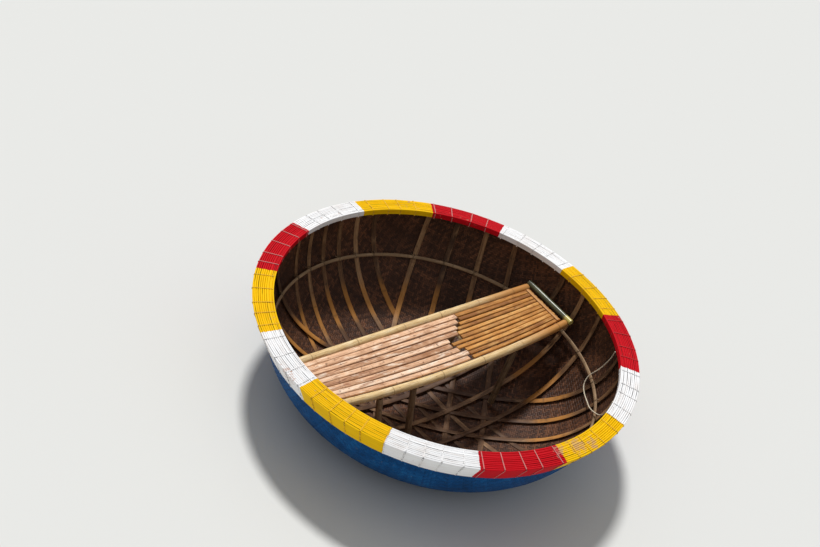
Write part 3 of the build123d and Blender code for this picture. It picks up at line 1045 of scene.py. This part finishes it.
def make_slats(name, start_xs, end_xs, finish, seed):
    """Split culms side by side, each a little lower, higher or turned from its neighbours."""
    draw = random.Random(seed)
    count = len(end_xs)
    rooms = [high - low for low, high in (slat_edges(min(start_xs)), slat_edges(max(end_xs)))]
    width = min(rooms) / count - SLAT_GAP
    bm = bmesh.new()
    for number, (start_x, end_x) in enumerate(zip(start_xs, end_xs)):
        share = (number + 0.5) / count
        z = slats_high.z - SLAT_THICKNESS / 2 - draw.uniform(0, 2.4) * MM
        tilt = draw.uniform(-0.05, 0.05)
        aside = draw.uniform(-0.9, 0.9) * MM
        points = []
        for x in evenly(start_x, end_x, SLAT_STEPS):
            low, high = slat_edges(x)
            points.append((x, low + (high - low) * share + aside, z))
        path = level_path(points, (0, tilt, 1))
        bend = waves(seed * 100 + number, 3, 5, 8)

        def warp(distance, across, away, bend=bend):
            return across * (bend(distance * 2.5) * 1.1 * MM)

        knots = knots_along(path.length, 0.24, draw)
        wide = width / 2 + draw.uniform(-0.8, 1.3) * MM
        add_bar(bm, path, wide, SLAT_THICKNESS / 2, slat_section, sides=16, step=16 * MM,
                knots=knots, knot_size=0.16, tone=draw.random(), warp=warp)
    dress(f"split_{name}", bm, [finish], f"{name.split('_')[1]}_slat_bamboo", name)


def right_slat_starts(left_ends):
    """Each right slat starts past the ends of the left slats that it meets."""
    per_slat = len(left_ends) / RIGHT_SLAT_COUNT
    starts = []
    for number in range(RIGHT_SLAT_COUNT):
        first = max(math.floor((number - SLAT_DRIFT) * per_slat), 0)
        last = math.ceil((number + 1 + SLAT_DRIFT) * per_slat)
        starts.append(max(left_ends[first:last]) + SLAT_GAP)
    return starts


def crosswise_path(low, high):
    """Through the middle of a box, across the bench."""
    x, _, z = (low + high) / 2
    return level_path([(x, low.y, z), (x, high.y, z)])


def make_bench_details(pole_finish, leg_finish, end_finish):
    """Crossbars, legs, the pole across the right end and the thin lath on the slats' ends."""
    draw = random.Random(13)
    for node in sorted(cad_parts):
        low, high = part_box(node)
        middle = (low + high) / 2
        if node.startswith("bench_crossbar") or node == "bench_right_end_pole":
            radius = (high.z - low.z) / 2
            path = crosswise_path(low, high)
            finish = end_finish if node == "bench_right_end_pole" else pole_finish
            slot = "pole_bamboo"
        elif "_leg_" in node:
            radius = LEG_RADIUS
            inward_step = math.copysign((high.x - low.x) / 2 - radius, -middle.x)
            outward_step = (high.y - low.y) / 2 - radius
            if "front" in node:
                outward_step = -outward_step
            foot = (middle.x + inward_step, middle.y + outward_step, low.z)
            top = (middle.x - inward_step, middle.y - outward_step, high.z)
            path = level_path((foot, top), (1, 0, 0))
            finish, slot = leg_finish, "leg_bamboo"
        else:
            continue
        bm = bmesh.new()
        knots = knots_along(path.length, 0.16, draw)
        radius *= BAR_SHARE
        add_bar(bm, path, radius, radius, sides=20, step=8 * MM, knots=knots, knot_size=0.05,
                tone=draw.random(), hollow=True)
        dress(f"bamboo_{node[6:]}", bm, [finish], slot, node)
    low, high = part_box("bench_end_lath")
    path = crosswise_path(low, high)
    bm = bmesh.new()
    add_bar(bm, path, (high.x - low.x) / 2, (high.z - low.z) / 2, slat_section, sides=14,
            step=16 * MM, knots=knots_along(path.length, 0.2, draw), knot_size=0.2, tone=0.9)
    dress("split_end_lath", bm, [pole_finish], "pole_bamboo", "bench_end_lath")


# The rope
ROPE_DIAMETER = 7 * MM
ROPE_LAY = 26 * MM                 # the length in which a strand goes once round
ROPE_STRAND = ROPE_DIAMETER * 0.27
LAY_STEPS = 10
ROPE_ROUTE = (
    (0.818, -0.533, 0.547),
    (0.821, -0.527, 0.500),
    (0.822, -0.509, 0.437),
    (0.811, -0.486, 0.370),
    (0.784, -0.454, 0.307),
    (0.753, -0.467, 0.261),
    (0.720, -0.515, 0.246),
    (0.678, -0.581, 0.257),
    (0.621, -0.646, 0.286),
    (0.571, -0.723, 0.334),
    (0.528, -0.794, 0.391),
    (0.511, -0.824, 0.450),
    (0.508, -0.834, 0.505),
    (0.508, -0.836, 0.547),
)


def rope_line():
    """Points along the smooth curve that the route's points guide."""
    curve = bpy.data.curves.new("rope_route", "CURVE")
    curve.dimensions = "3D"
    curve.resolution_u = 16
    spline = curve.splines.new("NURBS")
    spline.points.add(len(ROPE_ROUTE) - 1)
    for point, spot in zip(spline.points, ROPE_ROUTE):
        point.co = (*spot, 1)
    spline.order_u = 3
    spline.use_endpoint_u = True
    guide = bpy.data.objects.new("rope_route", curve)
    mesh = bpy.data.meshes.new_from_object(guide)
    points = [vert.co.copy() for vert in mesh.vertices]
    bpy.data.objects.remove(guide)
    bpy.data.meshes.remove(mesh)
    bpy.data.curves.remove(curve)
    return points


def make_rope(finish):
    """Three strands laid round each other along the route."""
    line = rope_line()
    away = Vector((0.6, 0.4, 0.7)).normalized()
    middle = level_path(line, away)
    bm = bmesh.new()
    steps = round(middle.length / ROPE_LAY * LAY_STEPS)
    for number in range(3):
        points = []
        for distance in evenly(0, middle.length, steps):
            point, across, up = middle.at(distance)
            turn = 2 * math.pi * (distance / ROPE_LAY + number / 3)
            out = across * math.cos(turn) + up * math.sin(turn)
            points.append(point + out * (ROPE_DIAMETER / 2 - ROPE_STRAND))
        path = level_path(points, away)
        add_bar(bm, path, ROPE_STRAND, ROPE_STRAND, sides=7, step=3 * MM, tone=number / 3)
    piece = dress("laid_rope", bm, [finish], "rope", "rope")


# The camera, where the photograph was taken from, and a soft studio
VIEW_DIRECTION = math.radians(50.5)      # of the photograph's right, from the bench's +X
VIEW_HEIGHT = math.radians(36.7)
VIEW_ROLL = math.radians(19.2)
VIEW_DISTANCE = 10.92
VIEW_ASIDE = 0.213
VIEW_ABOVE = -0.283
LENS_PIXELS = 2000
PHOTO_WIDTH = 820
SENSOR_WIDTH = 36
FLOOR_SIZE = 60
SKY_STRENGTH = 0.40
SUN_STRENGTH = 2.75
SUN_WIDTH = math.radians(8)
SUN_DIRECTION = (-0.22, 0.42, 0.88)      # to the photograph's right, away from the viewer, and up


def part_direction(right, forward, up):
    """A direction in the boat's frame, from the photograph's right and away from the viewer."""
    cosine, sine = math.cos(VIEW_DIRECTION), math.sin(VIEW_DIRECTION)
    return Vector((right * cosine + forward * sine, forward * cosine - right * sine, up))


def make_camera():
    """A camera at the photograph's angle, rolled because the boat is heeled over there."""
    flat = part_direction(1, 0, 0)
    upward = part_direction(0, math.sin(VIEW_HEIGHT), math.cos(VIEW_HEIGHT))
    back = part_direction(0, -math.cos(VIEW_HEIGHT), math.sin(VIEW_HEIGHT))
    right = flat * math.cos(VIEW_ROLL) + upward * math.sin(VIEW_ROLL)
    up = upward * math.cos(VIEW_ROLL) - flat * math.sin(VIEW_ROLL)
    centre = Vector((0, 0, outer_high.z))
    data = bpy.data.cameras.new("camera")
    data.sensor_width = SENSOR_WIDTH
    data.lens = LENS_PIXELS / PHOTO_WIDTH * SENSOR_WIDTH
    data.clip_end = 4 * FLOOR_SIZE
    camera = bpy.data.objects.new("camera", data)
    bpy.context.scene.collection.objects.link(camera)
    turn = Matrix((right, up, back)).transposed().to_4x4()
    spot = centre + back * VIEW_DISTANCE - right * VIEW_ASIDE - up * VIEW_ABOVE
    camera.matrix_world = Matrix.Translation(spot) @ turn
    bpy.context.scene.camera = camera


def make_studio():
    """A pale sky that lights more dimly than it shows, one large soft light and a floor."""
    sky = Finish("studio", bpy.data.worlds)
    bpy.context.scene.world = sky.material
    in_view = sky.add("ShaderNodeLightPath", output="Is Camera Ray")
    seen = sky.add("ShaderNodeBackground", inputs=("f2f2f0",))
    light = sky.add("ShaderNodeBackground", inputs=("f4f6fa", SKY_STRENGTH))
    choice = sky.add("ShaderNodeMixShader", inputs=(in_view, light, seen))
    sky.add("ShaderNodeOutputWorld", inputs=(choice,))

    sun = bpy.data.lights.new("key", "SUN")
    sun.energy = SUN_STRENGTH
    sun.angle = SUN_WIDTH
    lamp = bpy.data.objects.new("key", sun)
    towards = part_direction(*SUN_DIRECTION)
    lamp.matrix_world = towards.to_track_quat("Z", "Y").to_matrix().to_4x4()
    bpy.context.scene.collection.objects.link(lamp)

    # the floor is the water's level, so it stops at the hull
    bm = bmesh.new()
    for radius in (bowl_radius(HULL_THICKNESS / 2, 0), FLOOR_SIZE):
        bmesh.ops.create_circle(bm, segments=RING_STEPS, radius=radius)
    bmesh.ops.bridge_loops(bm, edges=bm.edges[:])
    bmesh.ops.recalc_face_normals(bm, faces=bm.faces[:])
    finish = Finish("studio_floor")
    floor = new_piece("studio_floor", bm, finish.done("dcdcd8", 0.9))


make_camera()
make_rope(rope_fibre())
make_studio()
make_rim(rim_paint("rim_paint"))
make_lashings(rim_paint("painted_line", line=True))
make_hull(hull_inside(), hull_outside())
brown = bamboo("brown_ribs", "b89068 7d5a3a 442d1e 33231a", streaked=0.5, extra=wet_lit_and_shaded_low)
ribs = make_ribs(brown)
hoop = make_hoop(bamboo("tan_hoop", "cdb08c a08262 67503a 45321f", streaked=0.3))
make_ties(hoop, ribs, bamboo("tie_cane", "b39a78 7d6549 4a3826 2e2217"))
straw = bamboo("straw_poles", "fff0cc eaca92 b48a54 7d5a34", ringed=0.6, roughness=0.42,
               streaked=0.6, extra=amber_end)
green = bamboo("green_end_pole", "7f7e58 50533c 2c2e24 1e1f18", ringed=0.4, roughness=0.2,
               streaked=0.3, shine=0.5, extra=knob_end)
make_edge_poles(straw)
tan = bamboo("tan_slats", "fff0da efc098 a06c46 74492c", ringed=0.3, streaked=0.75)
amber = bamboo("amber_slats", "ecbb72 ce8e42 8a5524 5a3818", ringed=0.3, streaked=0.55)
left_ends = [SLAT_BREAK + past for past in LEFT_SLAT_ENDS]
left_starts = [slats_low.x] * len(left_ends)
make_slats("bench_left_slats", left_starts, left_ends, tan, 17)
right_ends = [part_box("bench_right_slats")[1].x] * RIGHT_SLAT_COUNT
make_slats("bench_right_slats", right_slat_starts(left_ends), right_ends, amber, 19)
legs = bamboo("weathered_legs", "c4ae8c 8f7a60 56452f 33241a", streaked=0.5)
make_bench_details(straw, legs, green)

bpy.context.scene.view_settings.view_transform = "Standard"
